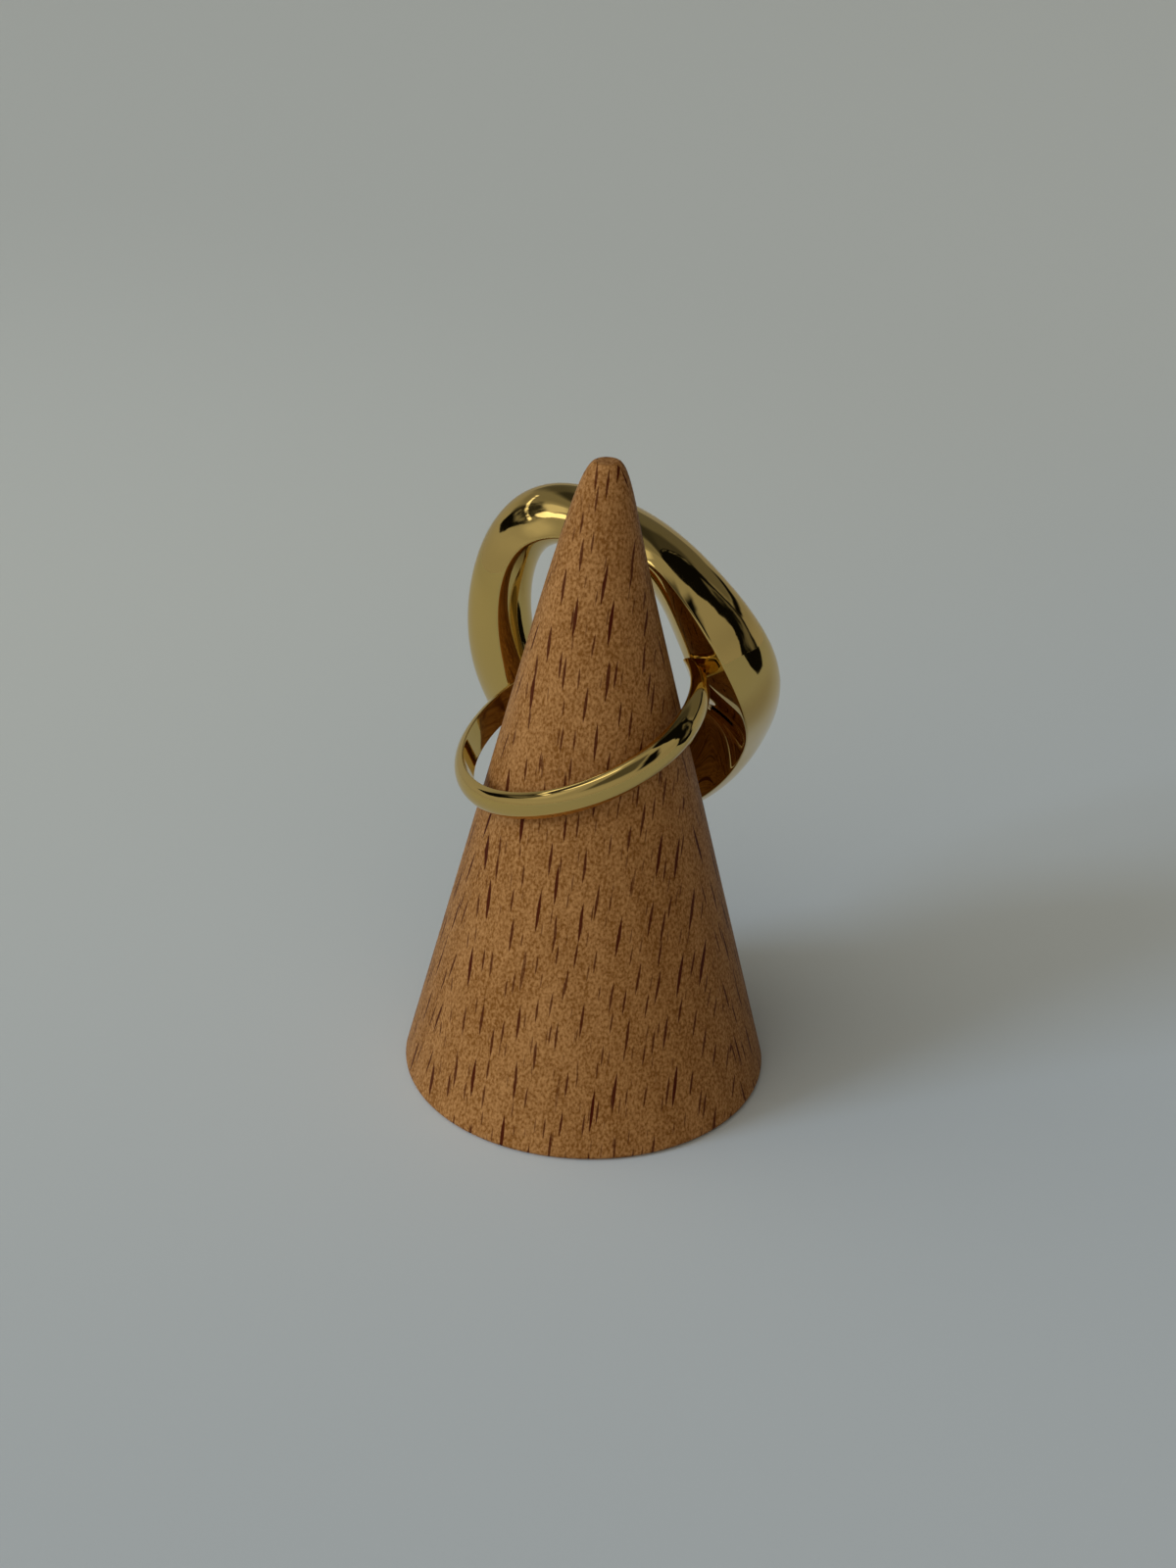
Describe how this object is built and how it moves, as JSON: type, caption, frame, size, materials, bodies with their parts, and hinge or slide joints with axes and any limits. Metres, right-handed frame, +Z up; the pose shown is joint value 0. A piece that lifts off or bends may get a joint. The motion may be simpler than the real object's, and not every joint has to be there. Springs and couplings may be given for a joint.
{
  "type": "ring on a wooden cone stand",
  "caption": "Sculptural polished gold finger ring with an open loop head and a slim half-round band, seated on a plain beech cone stand.",
  "frame": {"origin": "centre of the cone stand's base, on the surface it stands on", "axes": "+Z up along the cone's axis, +X towards the side the ring's head leans away from, +Y towards the ring's head; the band faces -Y"},
  "size_m": [0.028, 0.0289, 0.049],
  "materials": {
    "gold": "mirror-polished yellow gold",
    "beech": "fine-sanded satin beech with short dark flecks"
  },
  "bodies": {
    "root": {"ring": "gold", "cone_stand": "beech"}
  },
  "joints": []
}
